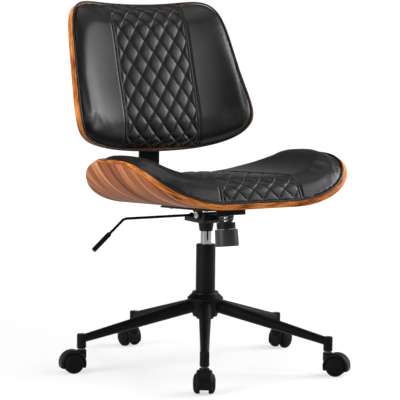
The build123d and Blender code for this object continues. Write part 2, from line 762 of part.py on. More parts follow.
bolt_spots = [(x, y) for x in (-seat_bolt_x, seat_bolt_x) for y in (-seat_bolt_y, seat_bolt_y)]
seat_bolt_holes = Part() + [
    Pos(x, y, 0) * upright_cylinder(bolt_d / 2 + bolt_gap, 2 * plate_low, plate_t) for x, y in bolt_spots
]
bolt_y, bolt_z = in_seat(knob_axis_y, knob_axis_z)
lean = radians(knob_tilt - seat_tilt)
head_y = bolt_y + (plate_top - bolt_z) * tan(lean)
slot_l = draw_bolt_d + 2 * draw_slot_room
draw_slot = Box(draw_bolt_d + 2 * body_gap, slot_l, 2 * plate_t)
draw_slot = Pos(0, head_y, (plate_top + plate_low) / 2) * draw_slot
parts["seat_plate"] = seat_frame * (plate - seat_bolt_holes - draw_slot)
shaft_reach = ear_in + ear_t + body_gap
shaft = Cylinder(tilt_shaft_d / 2, 2 * shaft_reach)
shaft_head = Cylinder(tilt_shaft_head_d / 2, tilt_shaft_head_h)
for side in (-1, 1):
    shaft += Pos(0, 0, side * (shaft_reach + tilt_shaft_head_h / 2)) * shaft_head
parts["tilt_shaft"] = shaft_way * shaft

# Tension knob with its draw bolt, spring and spring cup
cup_top = -tongue_t / 2 - cup_drop
cup_low = cup_top - cup_h
knob_top = cup_low - body_gap
knob_low = knob_top - knob_h
cup = circle_tube(cup_d / 2, cup_d / 2 - cup_wall, cup_low, cup_top)
cup += circle_tube(cup_d / 2, draw_bolt_d / 2 + run_gap, cup_low, cup_low + cup_wall)
parts["spring_cup"] = knob_frame * cup
head_rise = ((plate_top + cross_head_d / 2 + body_gap) - bolt_z) / cos(lean)
draw_bolt = upright_cylinder(draw_bolt_d / 2, knob_low + knob_floor, head_rise - cross_head_d / 4)
draw_bolt += Pos(0, 0, head_rise) * Rot(0, 90, 0) * Cylinder(cross_head_d / 2, cross_head_l)
parts["tension_bolt"] = knob_frame * draw_bolt
spring_low = cup_low + cup_wall + body_gap + spring_wire / 2
spring_high = -tongue_t / 2 - body_gap - spring_wire / 2
spring_pitch = (spring_high - spring_low) / spring_turns
coil, (coil_start, coil_way) = helix_wire(spring_d / 2, spring_pitch, spring_turns)
coil_section = Face(Wire.make_circle(spring_wire / 2, Plane(origin=coil_start, z_dir=coil_way)))
parts["tension_spring"] = knob_frame * Pos(0, 0, spring_low) * sweep(coil_section, path=coil)
coil_gap = least_coil_gap(spring_d / 2, spring_pitch, spring_turns, spring_wire)
print("tension spring, least gap to itself", round(coil_gap, 2))
knob = upright_cone(knob_bottom_d / 2, knob_top_d / 2, knob_low, knob_top)
knob = fillet(knob.edges().group_by(Axis.Z)[0], knob_crown)
flute = upright_cylinder(knob_flute_d / 2, knob_low - cut_over, knob_top - knob_collar)
flute = Pos((knob_bottom_d + knob_flute_d) / 2 - flute_sink, 0, 0) * flute
for k in range(knob_flutes):
    knob -= Rot(0, 0, 360 / knob_flutes * k) * flute
knob -= upright_cylinder(draw_bolt_d / 2 + run_gap, knob_low + knob_floor - body_gap, knob_top + cut_over)
parts["tension_knob"] = knob_frame * knob

# Height lever: bent rod, bush in the housing's wall and moulded grip
drop = radians(lever_drop_angle)
lever_way = (-cos(drop), -sin(drop))
lever_length = lever_free + grip_length
lever_points = [
    (lever_inside, lever_y, lever_z),
    (lever_bend_x, lever_y, lever_z),
    (lever_bend_x + lever_way[0] * lever_length, lever_y, lever_z + lever_way[1] * lever_length),
]
lever_path = FilletPolyline(*lever_points, radius=lever_bend_r)
lever_section = Face(Wire.make_circle(lever_d / 2, Plane(origin=lever_points[0], z_dir=(-1, 0, 0))))
parts["lever_rod"] = sweep(lever_section, path=lever_path.wire())
lever_plane = Plane(origin=lever_points[2], x_dir=(0, 1, 0), z_dir=(lever_way[0], 0, lever_way[1]))
grip = upright_cylinder(grip_d / 2, -grip_length, grip_d / 2)
grip = fillet(grip.edges().filter_by(GeomType.CIRCLE), grip_round)
grip -= upright_cylinder(lever_d / 2 + press_gap, -2 * grip_length, 0)
parts["lever_grip"] = lever_plane * grip
bush_flange = Cylinder(lever_bush_d / 2 + lever_bush_lip, housing_wall / 2)
bush = Cylinder(lever_bush_d / 2, housing_wall) + Pos(0, 0, -0.75 * housing_wall) * bush_flange
parts["lever_bush"] = bush_way * (bush - Cylinder(lever_d / 2 + lever_play, 4 * housing_wall))

# Seat: spacer strips, ply shell, cushion, bolts and tee nuts
spacer_l = plate_rear_y - plate_front_y - 2 * spacer_end
spacer_strip = Box(plate_half_w - spacer_in, spacer_l, bar_t)
spacers = []
for side in (-1, 1):
    spacer_x = side * (plate_half_w + spacer_in) / 2
    strip_place = Pos(spacer_x, (plate_front_y + plate_rear_y) / 2, -ply_t - bar_t / 2)
    spacers.append(strip_place * spacer_strip - seat_bolt_holes)
parts["seat_spacers"] = seat_frame * Compound(children=spacers)
seat_ply = BentPly(seat_flat, seat_bend_1_r, seat_bend_1, seat_bend_2_r, seat_bend_2)
seat_rim = Rim(-seat_front, seat_rear, seat_widest_y, seat_rim_half, seat_rim_half,
               seat_front_power, seat_rear_power, 0, 0)
outline_turns = [-84, -72, -60, -46, -30, -12, 6, 24, 42, 60, 76]
nut_bore = upright_cylinder(tee_nut_d / 2 + press_gap, -2 * ply_t, cut_over)
nut_bore += upright_cylinder(tee_flange_d / 2 + press_gap, -tee_flange_t, cut_over)
nut_room = Part() + [Pos(x, y, 0) * nut_bore for x, y in bolt_spots]
parts["seat_shell"] = seat_frame * (ply_shell(seat_ply, seat_rim, outline_turns) - nut_room)
seat_foam, seat_cover = quilted_cushion(seat_ply, seat_rim, seat_margin, seat_crown, seat_edge)
parts["seat_cushion"] = seat_frame * seat_foam
parts["seat_quilt"] = seat_frame * seat_cover


def tee_nut(low):
    body = circle_tube(tee_nut_d / 2, bolt_d / 2 + press_gap, low, -tee_flange_t)
    return body + circle_tube(tee_flange_d / 2, bolt_d / 2 + press_gap, -tee_flange_t, 0)


def flange_bolt(head_z, tip_z):
    """Button-head bolt with its head's face at head_z and its tip at tip_z, head below."""
    crown_r = bolt_head_d / 2 - bolt_head_slope
    bolt = upright_cylinder(bolt_d / 2, head_z, tip_z)
    bolt += upright_cone(crown_r, bolt_head_d / 2, head_z - bolt_head_h, head_z)
    return bolt - Pos(0, 0, head_z - bolt_head_h) * hexagon_bar(bolt_key, bolt_key / 2)


nut_low = -ply_t + nut_set_back
seat_tee_nuts = [Pos(x, y, 0) * tee_nut(nut_low) for x, y in bolt_spots]
parts["seat_tee_nuts"] = seat_frame * Compound(children=seat_tee_nuts)
seat_bolt = flange_bolt(plate_low, -bolt_end_gap)
parts["seat_bolts"] = seat_frame * Compound(children=[Pos(x, y, 0) * seat_bolt for x, y in bolt_spots])

# Back: flat steel bar, ply shell, cushion, bolts and tee nuts
bar_low = -ply_t - bar_t / 2
bar_slope = tan(radians(seat_tilt))
bar_front = seat_frame * Pos(0, bar_front_y, bar_low)
bar_mid_z = seat_height + bar_low / cos(radians(seat_tilt))
recline = radians(back_recline)
back_line_y = back_foot_y - bar_low * cos(recline)
back_line_z = back_foot_z + bar_low * sin(recline)
lean_z = back_line_z + (bar_upright_y - back_line_y) / tan(recline)
bar_points = [
    (bar_front.position.Y, bar_front.position.Z),
    (bar_upright_y, bar_mid_z - bar_upright_y * bar_slope),
    (bar_upright_y, lean_z),
    (back_line_y + bar_top * sin(recline), back_line_z + bar_top * cos(recline)),
]
bar = strip(bar_points, [bar_bend_r, bar_lean_r], bar_t, bar_w / 2)
back_spots = [(x, v) for x in (-back_bolt_x, back_bolt_x) for v in (back_bolt_low, back_bolt_high)]
back_hole = upright_cylinder(bolt_d / 2 + bolt_gap, -3 * ply_t, cut_over)
back_holes = Part() + [Pos(x, v, 0) * back_hole for x, v in back_spots]
parts["back_bar"] = bar - back_frame * back_holes
back_ply = BentPly(back_flat, back_bend_1_r, back_bend_1, back_bend_2_r, back_bend_2)
back_rim = Rim(0, back_h, back_widest, back_rim_half, back_rim_top_half,
               back_foot_power, back_top_power, back_foot_bow, back_top_dip)
back_turns = [-88.5, -84, -76, -64, -45, -20, 10, 40, 60, 74, 83, 88]
back_nut_room = Part() + [Pos(x, v, 0) * nut_bore for x, v in back_spots]
parts["back_shell"] = back_frame * (ply_shell(back_ply, back_rim, back_turns) - back_nut_room)
back_foam, back_cover = quilted_cushion(back_ply, back_rim, back_margin, back_crown, back_edge)
parts["back_cushion"] = back_frame * back_foam
parts["back_quilt"] = back_frame * back_cover
back_tee_nuts = [Pos(x, v, 0) * tee_nut(nut_low) for x, v in back_spots]
parts["back_tee_nuts"] = back_frame * Compound(children=back_tee_nuts)
back_bolt = flange_bolt(-ply_t - bar_t, -bolt_end_gap)
parts["back_bolts"] = back_frame * Compound(children=[Pos(x, v, 0) * back_bolt for x, v in back_spots])

for name, shape in parts.items():
    export_step(shape if isinstance(shape, Compound) else Compound(children=[shape]), f"parts/{name}.step")
    print(name, len(shape.solids()), round(sum(s.volume for s in shape.solids()) / 1000, 2), "cm3")
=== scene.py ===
from math import atan2, cos, exp, hypot, pi, radians, sin, sqrt

import bpy
from mathutils import Matrix, Vector


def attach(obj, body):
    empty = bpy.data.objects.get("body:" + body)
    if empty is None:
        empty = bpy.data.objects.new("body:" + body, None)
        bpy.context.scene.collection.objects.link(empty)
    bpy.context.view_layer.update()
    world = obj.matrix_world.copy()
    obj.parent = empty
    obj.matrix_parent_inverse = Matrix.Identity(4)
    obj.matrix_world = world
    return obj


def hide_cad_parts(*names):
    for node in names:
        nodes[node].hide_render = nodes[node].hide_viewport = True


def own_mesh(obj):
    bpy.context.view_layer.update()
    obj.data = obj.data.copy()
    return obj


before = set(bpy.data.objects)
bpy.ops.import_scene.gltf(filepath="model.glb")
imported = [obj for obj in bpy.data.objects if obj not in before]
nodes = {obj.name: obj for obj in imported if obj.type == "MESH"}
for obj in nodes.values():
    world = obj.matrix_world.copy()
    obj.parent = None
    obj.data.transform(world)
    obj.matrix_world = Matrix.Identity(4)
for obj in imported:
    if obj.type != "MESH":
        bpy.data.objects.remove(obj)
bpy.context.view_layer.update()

scene = bpy.context.scene
scene.view_settings.view_transform = "Standard"


# Studio: a white paper floor and white walls under a dim ceiling, with soft boxes round the chair.
# The floor glows a little for the camera, so that only soft shadows show under the casters.
class Socket:
    """A shader value that adds Math nodes when it is used in an expression."""

    def __init__(self, finish, link):
        self.finish = finish
        self.link = link

    def math(self, operation, other=0.0):
        return self.finish.add("ShaderNodeMath", {"operation": operation}, {0: self, 1: other})

    def __add__(self, other):
        return self.math("ADD", other)

    def __sub__(self, other):
        return self.math("SUBTRACT", other)

    def __rsub__(self, other):
        return self.finish.add("ShaderNodeMath", {"operation": "SUBTRACT"}, {0: other, 1: self})

    def __mul__(self, other):
        return self.math("MULTIPLY", other)

    def __rmul__(self, other):
        return self.math("MULTIPLY", other)

    def __truediv__(self, other):
        return self.math("DIVIDE", other)

    def __abs__(self):
        return self.math("ABSOLUTE")

    def step(self, low, high):
        """0 below low, 1 above high, smooth between."""
        return self.finish.add("ShaderNodeMapRange", {"interpolation_type": "SMOOTHSTEP"},
                               {"Value": self, "From Min": low, "From Max": high})


class Finish:
    """A material that is being mixed: one Principled shader and the nodes that feed it."""

    def __init__(self, name, **constants):
        self.material = bpy.data.materials.new(name)
        self.material.use_nodes = True
        self.tree = self.material.node_tree
        self.shader = self.tree.nodes["Principled BSDF"]
        for socket, value in constants.items():
            self.shader.inputs[socket.replace("_", " ")].default_value = value

    def add(self, kind, settings=None, sockets=None, out=0):
        """A node of that kind with its settings, then its sockets; its output as a value."""
        node = self.tree.nodes.new(kind)
        for name, value in (settings or {}).items():
            if name == "stops":
                while len(node.color_ramp.elements) < len(value):
                    node.color_ramp.elements.new(0.5)
                for element, (place, colour) in zip(node.color_ramp.elements, value):
                    element.position = place
                    element.color = (*colour, 1)
            else:
                setattr(node, name, value)
        for name, value in (sockets or {}).items():
            self.feed(node.inputs[name], value)
        return Socket(self, node.outputs[out])

    def feed(self, socket, value):
        if isinstance(value, Socket):
            self.tree.links.new(value.link, socket)
        elif hasattr(socket.default_value, "__len__") and len(value) < len(socket.default_value):
            socket.default_value = (*value, 1)
        else:
            socket.default_value = value

    def place(self, attribute=None, scale=(1, 1, 1)):
        """Object coordinates, or a piece's own attribute, stretched by scale."""
        if attribute:
            spot = self.add("ShaderNodeAttribute", {"attribute_name": attribute}, out="Vector")
        else:
            spot = self.add("ShaderNodeTexCoord", out="Object")
        return self.add("ShaderNodeVectorMath", {"operation": "MULTIPLY"}, {0: spot, 1: scale})

    def noise(self, spot, scale, detail=2.0, rough=0.5, bend=0.0):
        return self.add("ShaderNodeTexNoise", {}, {"Vector": spot, "Scale": scale, "Detail": detail,
                                                   "Roughness": rough, "Distortion": bend}, out="Fac")

    def ramp(self, value, stops):
        return self.add("ShaderNodeValToRGB", {"stops": stops}, {"Fac": value})

    def mix(self, share, a, b):
        return self.add("ShaderNodeMix", {"data_type": "RGBA"}, {"Factor": share, 6: a, 7: b}, out=2)

    def bump(self, height, distance, strength=1.0):
        sockets = {"Height": height, "Distance": distance, "Strength": strength}
        normal = self.add("ShaderNodeBump", {}, sockets)
        self.feed(self.shader.inputs["Normal"], normal)

    def set(self, **values):
        for socket, value in values.items():
            self.feed(self.shader.inputs[socket.replace("_", " ")], value)
        return self


def paint(finish, *objects):
    for obj in objects:
        obj.data.materials.clear()
        obj.data.materials.append(finish.material)


bpy.ops.object.select_all(action="DESELECT")
paper_size = 60.0
bpy.ops.mesh.primitive_plane_add(size=paper_size, location=(0, 0, 0))
paper = bpy.context.object
paper.name = "paper_floor"
bpy.ops.object.mode_set(mode="EDIT")
bpy.ops.mesh.subdivide(number_cuts=4)
bpy.ops.object.mode_set(mode="OBJECT")
paper_finish = Finish("paper", Roughness=0.9, Specular_IOR_Level=0.1)
paper_grain = paper_finish.noise(paper_finish.place(), 300.0)
paper_finish.set(Base_Color=paper_finish.mix(paper_grain, (0.30, 0.30, 0.30), (0.32, 0.32, 0.32)))
ray = paper_finish.tree.nodes.new("ShaderNodeLightPath")
seen = Socket(paper_finish, ray.outputs["Is Camera Ray"])
mirrored = Socket(paper_finish, ray.outputs["Is Glossy Ray"])
through = Socket(paper_finish, ray.outputs["Is Transmission Ray"])
near_glow, far_glow = (0.62, 0.62, 0.62), (1, 1, 1)
glow_from, glow_to = 0.7, 3.2
spot = paper_finish.place()
away = paper_finish.add("ShaderNodeVectorMath", {"operation": "LENGTH"}, {0: spot}, out="Value")
paper_glow = paper_finish.mix(away.step(glow_from, glow_to), near_glow, far_glow)
shown = (seen + mirrored + through).step(0.0, 1.0)
paper_finish.set(Emission_Color=paper_finish.mix(shown, (0, 0, 0), paper_glow))
paper_finish.shader.inputs["Emission Strength"].default_value = 1.0
paint(paper_finish, paper)

world = bpy.data.worlds.new("white_room")
scene.world = world
world.use_nodes = True
room = world.node_tree


def room_range(value, low, high, at_low, at_high):
    """A room value that goes from at_low to at_high as the given one goes from low to high."""
    node = room.nodes.new("ShaderNodeMapRange")
    room.links.new(value, node.inputs["Value"])
    for name, bound in zip(("From Min", "From Max", "To Min", "To Max"), (low, high, at_low, at_high)):
        if isinstance(bound, bpy.types.NodeSocket):
            room.links.new(bound, node.inputs[name])
        else:
            node.inputs[name].default_value = bound
    return node.outputs[0]


ray = room.nodes.new("ShaderNodeLightPath")
heading = room.nodes.new("ShaderNodeSeparateXYZ")
room.links.new(room.nodes.new("ShaderNodeTexCoord").outputs["Generated"], heading.inputs[0])
white, ceiling_light, room_light = 1.0, 0.12, 0.25
wall_top, ceiling_start = 0.12, 0.36
wall_or_ceiling = room_range(heading.outputs["Z"], wall_top, ceiling_start, white, ceiling_light)
strength = room_range(ray.outputs["Is Glossy Ray"], 0, 1, room_light, wall_or_ceiling)
strength = room_range(ray.outputs["Is Transmission Ray"], 0, 1, strength, white)
strength = room_range(ray.outputs["Is Camera Ray"], 0, 1, strength, white)
room.links.new(strength, room.nodes["Background"].inputs["Strength"])
room.nodes["Background"].inputs["Color"].default_value = (1, 1, 1, 1)

# Camera: a long lens in front of the chair's left side, a little above the seat, as for the photograph.
# Its place, its slight roll and its focal length were found from the base, the column and the casters.
camera_turn = radians(31)
camera_distance = 4.905
camera_height = 0.948
camera_yaw = -0.0033
camera_pitch = radians(6.04)
camera_roll = 0.011
focal_pixels = 1935
picture_pixels = 400
across = Vector((cos(camera_turn), -sin(camera_turn), 0))
along = Vector((sin(camera_turn), cos(camera_turn), 0))
right = cos(camera_yaw) * across - sin(camera_yaw) * along
level = sin(camera_yaw) * across + cos(camera_yaw) * along
ahead = cos(camera_pitch) * level - sin(camera_pitch) * Vector((0, 0, 1))
above = sin(camera_pitch) * level + cos(camera_pitch) * Vector((0, 0, 1))
picture_right = cos(camera_roll) * right + sin(camera_roll) * above
picture_up = cos(camera_roll) * above - sin(camera_roll) * right
lens = bpy.data.cameras.new("lens")
lens.sensor_width = 36
lens.lens = focal_pixels / picture_pixels * lens.sensor_width
lens.clip_end = 100
camera = bpy.data.objects.new("camera", lens)
scene.collection.objects.link(camera)
camera.matrix_world = Matrix((
    (picture_right[0], picture_up[0], -ahead[0], -camera_distance * along[0]),
    (picture_right[1], picture_up[1], -ahead[1], -camera_distance * along[1]),
    (picture_right[2], picture_up[2], -ahead[2], camera_height),
    (0, 0, 0, 1),
))
scene.camera = camera


def soft_box(name, place, aim, width, height, power):
    light = bpy.data.lights.new(name, "AREA")
    light.shape = "RECTANGLE"
    light.size = width
    light.size_y = height
    light.energy = power
    lamp = bpy.data.objects.new(name, light)
    scene.collection.objects.link(lamp)
    lamp.location = place
    lamp.rotation_euler = (Vector(aim) - Vector(place)).to_track_quat("-Z", "Y").to_euler()


chair_middle = (0, 0, 0.5)
soft_box("left_box", (-2.6, -0.3, 1.2), chair_middle, 1.4, 2.0, 75)
soft_box("front_box", (1.5, -2.5, 2.15), chair_middle, 0.9, 0.9, 32)
soft_box("top_box", (0.2, 0.2, 3.4), chair_middle, 2.6, 2.6, 42)
soft_box("right_box", (2.25, -0.55, 1.40), chair_middle, 1.5, 1.2, 76)


# Star base: a turned hub and five tapered tubes, welded and powder coated satin black.
# The coat has a faint orange peel and dulls a little in patches.
def powder_coat(name, colour, rough, peel=0.00006):
    coat = Finish(name, Specular_IOR_Level=0.08)
    spot = coat.place()
    patches = coat.noise(spot, 14.0, 3.0)
    lighter = tuple(c * 1.5 + 0.002 for c in colour)
    coat.set(Base_Color=coat.mix(patches.step(0.35, 0.75), colour, lighter))
    coat.set(Roughness=patches * 0.14 + (rough - 0.07))
    coat.bump(coat.noise(spot, 650.0, 2.0), peel, 0.6)
    return coat


leg_numbers = range(1, 6)
black_coat = powder_coat("satin_black_coat", (0.0024, 0.0024, 0.0026), 0.45)
paint(black_coat, nodes["base_hub"])
for number in leg_numbers:
    paint(black_coat, nodes[f"leg_{number}"])


# Casters: a narrow black nylon hood over two domed wheels on a steel axle, with a steel stem in the leg's socket.
# Hood and wheels have a fine moulded grain, and each wheel has a fine ring round its cap.
def moulded(name, colour, rough, gloss=0.05, grain=0.00008):
    nylon = Finish(name, Specular_IOR_Level=gloss)
    spot = nylon.place()
    cloud = nylon.noise(spot, 30.0, 3.0)
    lighter = tuple(c * 1.6 + 0.002 for c in colour)
    nylon.set(Base_Color=nylon.mix(cloud, colour, lighter))
    nylon.set(Roughness=cloud * 0.2 + (rough - 0.1))
    nylon.bump(nylon.noise(spot, 1400.0, 2.0), grain, 0.5)
    return nylon


def worked_steel(name, colour, rough):
    """Plated or blackened steel with fine turning marks and a cloudy sheen."""
    steel = Finish(name, Metallic=1.0)
    spot = steel.place()
    cloud = steel.noise(spot, 60.0, 3.0)
    marks = steel.noise(steel.place(scale=(1, 1, 30)), 60.0, 2.0)
    steel.set(Base_Color=steel.mix(cloud, colour, tuple(c * 0.75 for c in colour)))
    steel.set(Roughness=cloud * 0.15 + marks * 0.1 + (rough - 0.1))
    steel.bump(marks, 0.00004, 0.4)
    return steel


black_nylon = moulded("black_nylon", (0.0024, 0.0024, 0.0026), 0.5, 0.08)
tread = moulded("wheel_tread", (0.0022, 0.0022, 0.0024), 0.6, 0.06)
dark_steel = worked_steel("blackened_steel", (0.12, 0.12, 0.125), 0.4)
bright_steel = worked_steel("zinc_plate", (0.62, 0.62, 0.63), 0.3)
round_sides = 64


def apply_modifier(obj, kind, **settings):
    bpy.context.view_layer.objects.active = obj
    modifier = obj.modifiers.new(kind.lower(), kind)
    for name, value in settings.items():
        setattr(modifier, name, value)
    bpy.ops.object.modifier_apply(modifier=modifier.name)


def cylinder(name, radius, length, place, lying=False):
    """Cylinder about its middle, standing or lying along Y."""
    bpy.ops.object.select_all(action="DESELECT")
    turn = (pi / 2, 0, 0) if lying else (0, 0, 0)
    bpy.ops.mesh.primitive_cylinder_add(
        vertices=round_sides, radius=radius, depth=length, location=place, rotation=turn)
    bpy.ops.object.transform_apply()
    obj = bpy.context.object
    obj.name = name
    return obj


def round_corners(obj, width, segments):
    sharp = radians(50)
    apply_modifier(obj, "BEVEL", width=width, segments=segments, limit_method="ANGLE", angle_limit=sharp)


def join_or_cut(obj, tool, operation):
    apply_modifier(obj, "BOOLEAN", operation=operation, object=tool)
    bpy.data.objects.remove(tool)


def turned(name, profile):
    """Body turned about Z from (height, radius) pairs, with a flat end at each side."""
    bpy.ops.object.select_all(action="DESELECT")
    (height, radius), *steps = profile
    bpy.ops.mesh.primitive_circle_add(
        vertices=round_sides, radius=radius, fill_type="NGON", location=(0, 0, height))
    bpy.ops.object.transform_apply()
    obj = bpy.context.object
    obj.name = name
    bpy.ops.object.mode_set(mode="EDIT")
    bpy.ops.mesh.select_all(action="SELECT")
    for next_height, next_radius in steps:
        bpy.ops.mesh.extrude_edges_move(TRANSFORM_OT_translate={"value": (0, 0, next_height - height)})
        bpy.ops.transform.resize(value=(next_radius / radius, next_radius / radius, 1))
        height, radius = next_height, next_radius
    bpy.ops.mesh.edge_face_add()
    bpy.ops.mesh.select_all(action="SELECT")
    bpy.ops.mesh.normals_make_consistent(inside=False)
    bpy.ops.object.mode_set(mode="OBJECT")
    bpy.ops.object.shade_smooth()
    return obj


wheel_r = 0.025
caster_trail = 0.023
tip_radius = 0.326
leg_heading = -121
leg_step = 72
hood_r = 0.033
hood_half = 0.0195
hood_top = 0.058
hood_foot = 0.014
web_half = 0.0098
boss_r = 0.0125
boss_half = 0.011
room_half = 0.015
room_gap = 0.0018
cut_half = 0.1

hood = cylinder("hood", hood_r, 2 * hood_half, (caster_trail, 0, wheel_r), lying=True)
round_corners(hood, 0.006, 4)
boss = cylinder("boss", boss_r, 2 * boss_half, (0, 0, hood_top - boss_half))
round_corners(boss, 0.002, 3)
join_or_cut(hood, boss, "UNION")
for hand in (-1, 1):
    room_place = (caster_trail, hand * (web_half + room_half), wheel_r)
    wheel_room = cylinder("wheel_room", wheel_r + room_gap, 2 * room_half, room_place, lying=True)
    join_or_cut(hood, wheel_room, "DIFFERENCE")
bpy.ops.mesh.primitive_cube_add(size=2 * cut_half, location=(0, 0, hood_foot - cut_half))
join_or_cut(hood, bpy.context.object, "DIFFERENCE")
wheel = turned("wheel", [
    (0.0105, 0.0060), (0.0105, 0.0234), (0.0113, 0.0246), (0.0125, 0.0250), (0.0170, 0.0250),
    (0.0195, 0.0246), (0.0215, 0.0236), (0.0233, 0.0219), (0.0247, 0.0196), (0.0254, 0.0180),
    (0.0251, 0.0175), (0.0257, 0.0169), (0.0266, 0.0136), (0.0271, 0.0095), (0.0273, 0.0050),
])


def stand(piece, name, place, body, node, finish):
    """Copy of a piece, moved to its place on the chair."""
    obj = piece.copy()
    obj.data = piece.data.copy()
    obj.name = name
    obj.data.transform(place)
    scene.collection.objects.link(obj)
    paint(finish, obj)
    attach(obj, body)
    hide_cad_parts(node)


for number in leg_numbers:
    paint(dark_steel, nodes[f"caster_{number}_stem"], nodes[f"caster_{number}_axle"])
    turn = Matrix.Rotation(radians(leg_heading + leg_step * (number - 1)), 4, "Z")
    tip = turn @ Matrix.Translation((tip_radius, 0, 0))
    stand(hood, f"hood_{number}", tip, f"caster_{number}", f"caster_{number}_hood", black_nylon)
    axle_place = tip @ Matrix.Translation((caster_trail, 0, wheel_r))
    for side, lean in (("left", 90), ("right", -90)):
        place = axle_place @ Matrix.Rotation(radians(lean), 4, "X")
        body = f"wheel_{number}_{side}"
        stand(wheel, body, place, body, f"caster_{number}_wheel_{side}", tread)
for pattern in (hood, wheel):
    bpy.data.objects.remove(pattern)

# Gas lift: a powder-coated column, a guide bush at its mouth and the plated lift cylinder that slides in it.
# The rod with its bearing and rubber stop stands inside the column.
chrome = Finish("plated_lift", Metallic=1.0)
# The plated cylinder's colour is painted darker in long upright streaks: painted reflection of the dark parts
# round it. The same streaks vary its gloss.
gloss_streaks_and_painted_reflection = chrome.noise(chrome.place(scale=(1, 1, 0.2)), 40.0, 3.0)
chrome.set(Base_Color=chrome.mix(gloss_streaks_and_painted_reflection, (0.27, 0.27, 0.285), (0.18, 0.18, 0.19)))
chrome.set(Roughness=gloss_streaks_and_painted_reflection * 0.08 + 0.07)
grey_nylon = moulded("grey_nylon", (0.05, 0.05, 0.052), 0.5)
paint(black_coat, nodes["column_tube"])
paint(grey_nylon, nodes["column_bush"])
paint(chrome, nodes["lift_cylinder"])
paint(dark_steel, nodes["lift_rod"], nodes["thrust_bearing"])
paint(tread, nodes["bump_stop"])
paint(bright_steel, nodes["release_pin"])

# Tilt mechanism: a pressed and painted steel housing on the lift's taper, and the seat plate on its shaft.
# A draw bolt hangs from the plate and squeezes the tension spring between its cup and the housing's tongue.
# The spring shortens as the seat tilts.
grey_paint = powder_coat("dark_grey_paint", (0.010, 0.010, 0.0105), 0.42)
paint(grey_paint, nodes["mechanism_housing"], nodes["spring_cup"])
paint(black_coat, nodes["seat_plate"])
paint(bright_steel, nodes["tilt_shaft"], nodes["tension_bolt"])
paint(dark_steel, nodes["tension_spring"])
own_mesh(nodes["tension_spring"])
paint(moulded("knob_nylon", (0.016, 0.016, 0.0165), 0.42, 0.25), nodes["tension_knob"])

# Height lever: a bent steel rod through a nylon bush in the housing's wall.
# A moulded grip is pushed on its end.
paint(black_coat, nodes["lever_rod"])
paint(black_nylon, nodes["lever_grip"], nodes["lever_bush"])

# Back bar: flat spring steel, powder coated, bent under the seat and up the back.
# Bolts and tee nuts hold it and the seat, on nylon spacers.
paint(black_coat, nodes["back_bar"])
paint(black_nylon, nodes["seat_spacers"])
paint(bright_steel, nodes["seat_bolts"], nodes["seat_tee_nuts"], nodes["back_tee_nuts"])
paint(dark_steel, nodes["back_bolts"])


# Seat shell: walnut-veneered ply, pressed over a former so that both sides rise as wings, then trimmed.
# The veneer's grain runs across the seat and round the bends, and the cut edge shows the orange cross plies.
class BentSheet:
    """A pressed sheet: a flat middle, two arcs on each side, and the outline of its flat blank."""

    def __init__(self, frame_in_chair, bends, outline):
        self.to_chair = frame_in_chair
        self.from_chair = frame_in_chair.inverted()
        self.flat, self.r_1, bend_1, self.r_2 = bends
        self.a_1 = radians(bend_1)
        self.mark_1 = self.flat
        self.mark_2 = self.flat + self.r_1 * self.a_1
        self.centre_x = self.flat + (self.r_1 - self.r_2) * sin(self.a_1)
        self.centre_d = self.r_1 - (self.r_1 - self.r_2) * cos(self.a_1)
        self.low, self.high, self.widest, self.half_low, self.half_high = outline[:5]
        self.low_power, self.high_power, self.low_bow, self.high_bow = outline[5:]

    def spread(self, x, y):
        """Place on the flat blank of a point of the unit disc: along the section and along the station."""
        rho = hypot(x, y)
        if rho < 1e-9:
            return 0.0, self.widest
        c, s = x / rho, y / rho
        power = self.low_power if s < 0 else self.high_power
        reach = self.widest - self.low if s < 0 else self.high - self.widest
        bow = self.low_bow if s < 0 else self.high_bow
        size = rho * (abs(c) ** power + abs(s) ** power) ** (-1 / power)
        station = self.widest + reach * size * s
        share = (station - self.low) / (self.high - self.low)
        half = self.half_low + (self.half_high - self.half_low) * share
        return half * size * c, station + bow * (size * c) ** 2 * abs(size * s)

    def bent(self, u, station, lift):
        """Point of the chair for a place on the blank, lift above the sitter's face."""
        side, u = (-1 if u < 0 else 1), abs(u)
        if u <= self.mark_1:
            x, d = u, lift
        elif u <= self.mark_2:
            a = (u - self.mark_1) / self.r_1
            x, d = self.flat + (self.r_1 - lift) * sin(a), self.r_1 - (self.r_1 - lift) * cos(a)
        else:
            a = self.a_1 + (u - self.mark_2) / self.r_2
            x, d = self.centre_x + (self.r_2 - lift) * sin(a), self.centre_d - (self.r_2 - lift) * cos(a)
        return self.to_chair @ Vector((side * x, station, d))

    def flattened(self, point):
        """Place on the blank, and lift, of a point of the chair."""
        x, station, d = self.from_chair @ point
        side, x = (-1 if x < 0 else 1), abs(x)
        if x <= self.flat:
            return side * x, station, d
        a = atan2(x - self.flat, self.r_1 - d)
        if a <= self.a_1:
            return side * (self.mark_1 + self.r_1 * a), station, self.r_1 - hypot(x - self.flat, self.r_1 - d)
        a = atan2(x - self.centre_x, self.centre_d - d)
        lift = self.r_2 - hypot(x - self.centre_x, self.centre_d - d)
        return side * (self.mark_2 + self.r_2 * (a - self.a_1)), station, lift


def ringed_disc(name, sides, radii):
    """Flat unit disc with rings at the given radii, outermost first, and a point in the middle."""
    bpy.ops.object.select_all(action="DESELECT")
    bpy.ops.mesh.primitive_circle_add(vertices=sides, radius=radii[0], fill_type="NOTHING")
    obj = bpy.context.object
    obj.name = name
    bpy.ops.object.mode_set(mode="EDIT")
    bpy.ops.mesh.select_all(action="SELECT")
    for outer, inner in zip(radii, radii[1:]):
        bpy.ops.mesh.extrude_edges_move()
        bpy.ops.transform.resize(value=(inner / outer, inner / outer, 1))
    bpy.ops.mesh.merge(type="CENTER")
    bpy.ops.mesh.select_all(action="SELECT")
    bpy.ops.mesh.normals_make_consistent(inside=False)
    bpy.ops.object.mode_set(mode="OBJECT")
    if obj.data.polygons[0].normal.z < 0:
        obj.data.flip_normals()
    return obj


